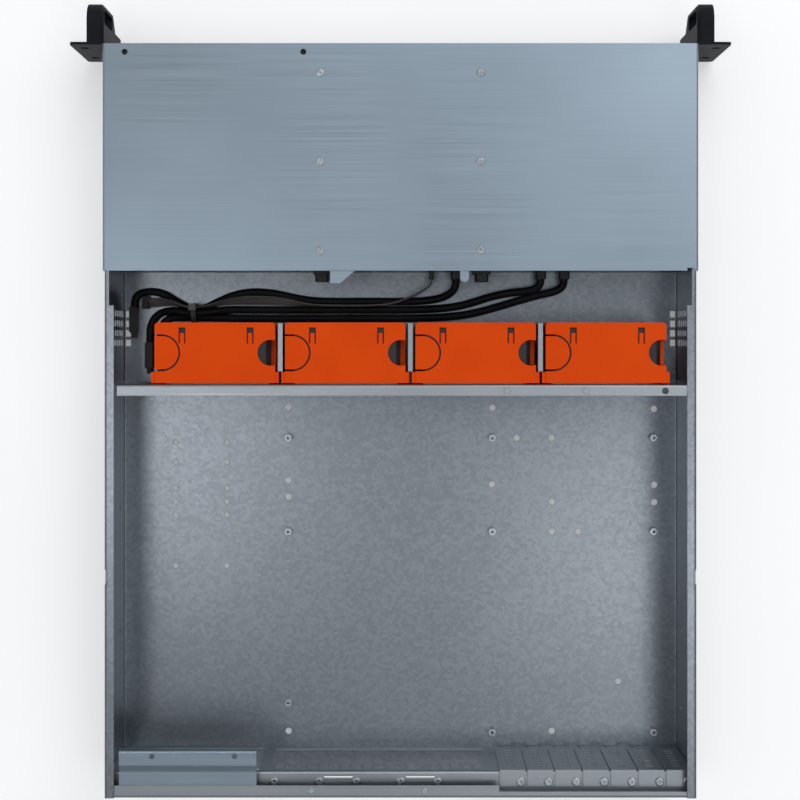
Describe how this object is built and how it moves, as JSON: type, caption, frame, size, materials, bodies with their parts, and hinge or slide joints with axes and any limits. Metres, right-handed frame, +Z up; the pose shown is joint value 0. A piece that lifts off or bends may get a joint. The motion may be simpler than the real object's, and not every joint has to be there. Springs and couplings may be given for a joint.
{
  "type": "rackmount server case",
  "caption": "Rackmount server case with its rear lid off: zinc steel tray, hot-swap drive trays, lift-out orange fan modules, cable harness, vented slot covers and black ears.",
  "frame": {"origin": "middle of the body's underside, which it stands on", "axes": "+Z up, -Y towards the front with the ears, +X to the right seen from the front"},
  "size_m": [0.4826, 0.5793, 0.088],
  "materials": {
    "zinc_steel": "zinc plated",
    "screw_steel": "plated",
    "black_paint": "satin black",
    "black_plastic": "moulded",
    "tray_plastic": "moulded",
    "lever_plastic": "moulded",
    "grey_plastic": "moulded",
    "orange_plastic": "moulded",
    "fan_plastic": "moulded",
    "circuit_board": "coated",
    "cable_jacket": "sleeved"
  },
  "bodies": {
    "chassis": {"backplane": "circuit_board", "backplane_sockets": "black_plastic", "base_tray": "zinc_steel", "board_standoffs": "screw_steel", "cable_1": "cable_jacket", "cable_2": "cable_jacket", "cable_3": "cable_jacket", "cable_4": "cable_jacket", "cable_plugs": "black_plastic", "cable_tie": "grey_plastic", "cover_screws": "screw_steel", "drive_cage": "zinc_steel", "ear_screws": "black_paint", "fan_wall": "zinc_steel", "front_cover": "zinc_steel", "left_ear": "black_paint", "power_plugs": "black_plastic", "psu_bracket": "zinc_steel", "rear_panel": "zinc_steel", "rear_screws": "screw_steel", "right_ear": "black_paint", "rim_rivets": "screw_steel", "slot_covers": "zinc_steel"},
    "tray_1": {"drive_tray_1": "tray_plastic"},
    "lever_1": {"tray_lever_1": "lever_plastic"},
    "tray_2": {"drive_tray_2": "tray_plastic"},
    "lever_2": {"tray_lever_2": "lever_plastic"},
    "tray_3": {"drive_tray_3": "tray_plastic"},
    "lever_3": {"tray_lever_3": "lever_plastic"},
    "tray_4": {"drive_tray_4": "tray_plastic"},
    "lever_4": {"tray_lever_4": "lever_plastic"},
    "tray_5": {"drive_tray_5": "tray_plastic"},
    "lever_5": {"tray_lever_5": "lever_plastic"},
    "tray_6": {"drive_tray_6": "tray_plastic"},
    "lever_6": {"tray_lever_6": "lever_plastic"},
    "tray_7": {"drive_tray_7": "tray_plastic"},
    "lever_7": {"tray_lever_7": "lever_plastic"},
    "tray_8": {"drive_tray_8": "tray_plastic"},
    "lever_8": {"tray_lever_8": "lever_plastic"},
    "tray_9": {"drive_tray_9": "tray_plastic"},
    "lever_9": {"tray_lever_9": "lever_plastic"},
    "tray_10": {"drive_tray_10": "tray_plastic"},
    "lever_10": {"tray_lever_10": "lever_plastic"},
    "tray_11": {"drive_tray_11": "tray_plastic"},
    "lever_11": {"tray_lever_11": "lever_plastic"},
    "tray_12": {"drive_tray_12": "tray_plastic"},
    "lever_12": {"tray_lever_12": "lever_plastic"},
    "fan_1": {"fan_shell_1": "orange_plastic", "fan_frame_1": "fan_plastic"},
    "rotor_1": {"fan_rotor_1": "fan_plastic"},
    "fan_2": {"fan_shell_2": "orange_plastic", "fan_frame_2": "fan_plastic"},
    "rotor_2": {"fan_rotor_2": "fan_plastic"},
    "fan_3": {"fan_shell_3": "orange_plastic", "fan_frame_3": "fan_plastic"},
    "rotor_3": {"fan_rotor_3": "fan_plastic"},
    "fan_4": {"fan_shell_4": "orange_plastic", "fan_frame_4": "fan_plastic"},
    "rotor_4": {"fan_rotor_4": "fan_plastic"},
    "button": {"power_button": "grey_plastic"}
  },
  "joints": [
    {"name": "tray_slide_1", "type": "slide", "parent": "chassis", "child": "tray_1", "axis": [0, -1, 0], "range_m": [0, 0.14]},
    {"name": "lever_swing_1", "type": "hinge", "parent": "tray_1", "child": "lever_1", "pos_m": [-0.2033, -0.2713, 0.0175], "axis": [0, 0, -1], "range_deg": [0, 70]},
    {"name": "tray_slide_2", "type": "slide", "parent": "chassis", "child": "tray_2", "axis": [0, -1, 0], "range_m": [0, 0.14]},
    {"name": "lever_swing_2", "type": "hinge", "parent": "tray_2", "child": "lever_2", "pos_m": [-0.2033, -0.2713, 0.04577], "axis": [0, 0, -1], "range_deg": [0, 70]},
    {"name": "tray_slide_3", "type": "slide", "parent": "chassis", "child": "tray_3", "axis": [0, -1, 0], "range_m": [0, 0.14]},
    {"name": "lever_swing_3", "type": "hinge", "parent": "tray_3", "child": "lever_3", "pos_m": [-0.2033, -0.2713, 0.07403], "axis": [0, 0, -1], "range_deg": [0, 70]},
    {"name": "tray_slide_4", "type": "slide", "parent": "chassis", "child": "tray_4", "axis": [0, -1, 0], "range_m": [0, 0.14]},
    {"name": "lever_swing_4", "type": "hinge", "parent": "tray_4", "child": "lever_4", "pos_m": [-0.098, -0.2713, 0.0175], "axis": [0, 0, -1], "range_deg": [0, 70]},
    {"name": "tray_slide_5", "type": "slide", "parent": "chassis", "child": "tray_5", "axis": [0, -1, 0], "range_m": [0, 0.14]},
    {"name": "lever_swing_5", "type": "hinge", "parent": "tray_5", "child": "lever_5", "pos_m": [-0.098, -0.2713, 0.04577], "axis": [0, 0, -1], "range_deg": [0, 70]},
    {"name": "tray_slide_6", "type": "slide", "parent": "chassis", "child": "tray_6", "axis": [0, -1, 0], "range_m": [0, 0.14]},
    {"name": "lever_swing_6", "type": "hinge", "parent": "tray_6", "child": "lever_6", "pos_m": [-0.098, -0.2713, 0.07403], "axis": [0, 0, -1], "range_deg": [0, 70]},
    {"name": "tray_slide_7", "type": "slide", "parent": "chassis", "child": "tray_7", "axis": [0, -1, 0], "range_m": [0, 0.14]},
    {"name": "lever_swing_7", "type": "hinge", "parent": "tray_7", "child": "lever_7", "pos_m": [0.0073, -0.2713, 0.0175], "axis": [0, 0, -1], "range_deg": [0, 70]},
    {"name": "tray_slide_8", "type": "slide", "parent": "chassis", "child": "tray_8", "axis": [0, -1, 0], "range_m": [0, 0.14]},
    {"name": "lever_swing_8", "type": "hinge", "parent": "tray_8", "child": "lever_8", "pos_m": [0.0073, -0.2713, 0.04577], "axis": [0, 0, -1], "range_deg": [0, 70]},
    {"name": "tray_slide_9", "type": "slide", "parent": "chassis", "child": "tray_9", "axis": [0, -1, 0], "range_m": [0, 0.14]},
    {"name": "lever_swing_9", "type": "hinge", "parent": "tray_9", "child": "lever_9", "pos_m": [0.0073, -0.2713, 0.07403], "axis": [0, 0, -1], "range_deg": [0, 70]},
    {"name": "tray_slide_10", "type": "slide", "parent": "chassis", "child": "tray_10", "axis": [0, -1, 0], "range_m": [0, 0.14]},
    {"name": "lever_swing_10", "type": "hinge", "parent": "tray_10", "child": "lever_10", "pos_m": [0.1126, -0.2713, 0.0175], "axis": [0, 0, -1], "range_deg": [0, 70]},
    {"name": "tray_slide_11", "type": "slide", "parent": "chassis", "child": "tray_11", "axis": [0, -1, 0], "range_m": [0, 0.14]},
    {"name": "lever_swing_11", "type": "hinge", "parent": "tray_11", "child": "lever_11", "pos_m": [0.1126, -0.2713, 0.04577], "axis": [0, 0, -1], "range_deg": [0, 70]},
    {"name": "tray_slide_12", "type": "slide", "parent": "chassis", "child": "tray_12", "axis": [0, -1, 0], "range_m": [0, 0.14]},
    {"name": "lever_swing_12", "type": "hinge", "parent": "tray_12", "child": "lever_12", "pos_m": [0.1126, -0.2713, 0.07403], "axis": [0, 0, -1], "range_deg": [0, 70]},
    {"name": "fan_lift_1", "type": "slide", "parent": "chassis", "child": "fan_1", "axis": [0, 0, 1], "range_m": [0, 0.09]},
    {"name": "rotor_spin_1", "type": "hinge", "parent": "fan_1", "child": "rotor_1", "pos_m": [0.135, -0.0489, 0.0431], "axis": [0, 1, 0], "continuous": true},
    {"name": "fan_lift_2", "type": "slide", "parent": "chassis", "child": "fan_2", "axis": [0, 0, 1], "range_m": [0, 0.09]},
    {"name": "rotor_spin_2", "type": "hinge", "parent": "fan_2", "child": "rotor_2", "pos_m": [0.0402, -0.0489, 0.0431], "axis": [0, 1, 0], "continuous": true},
    {"name": "fan_lift_3", "type": "slide", "parent": "chassis", "child": "fan_3", "axis": [0, 0, 1], "range_m": [0, 0.09]},
    {"name": "rotor_spin_3", "type": "hinge", "parent": "fan_3", "child": "rotor_3", "pos_m": [-0.0546, -0.0489, 0.0431], "axis": [0, 1, 0], "continuous": true},
    {"name": "fan_lift_4", "type": "slide", "parent": "chassis", "child": "fan_4", "axis": [0, 0, 1], "range_m": [0, 0.09]},
    {"name": "rotor_spin_4", "type": "hinge", "parent": "fan_4", "child": "rotor_4", "pos_m": [-0.1494, -0.0489, 0.0431], "axis": [0, 1, 0], "continuous": true},
    {"name": "button_press", "type": "slide", "parent": "chassis", "child": "button", "axis": [0, 1, 0], "range_m": [0, 0.0015], "stiffness_N_per_m": 300}
  ]
}
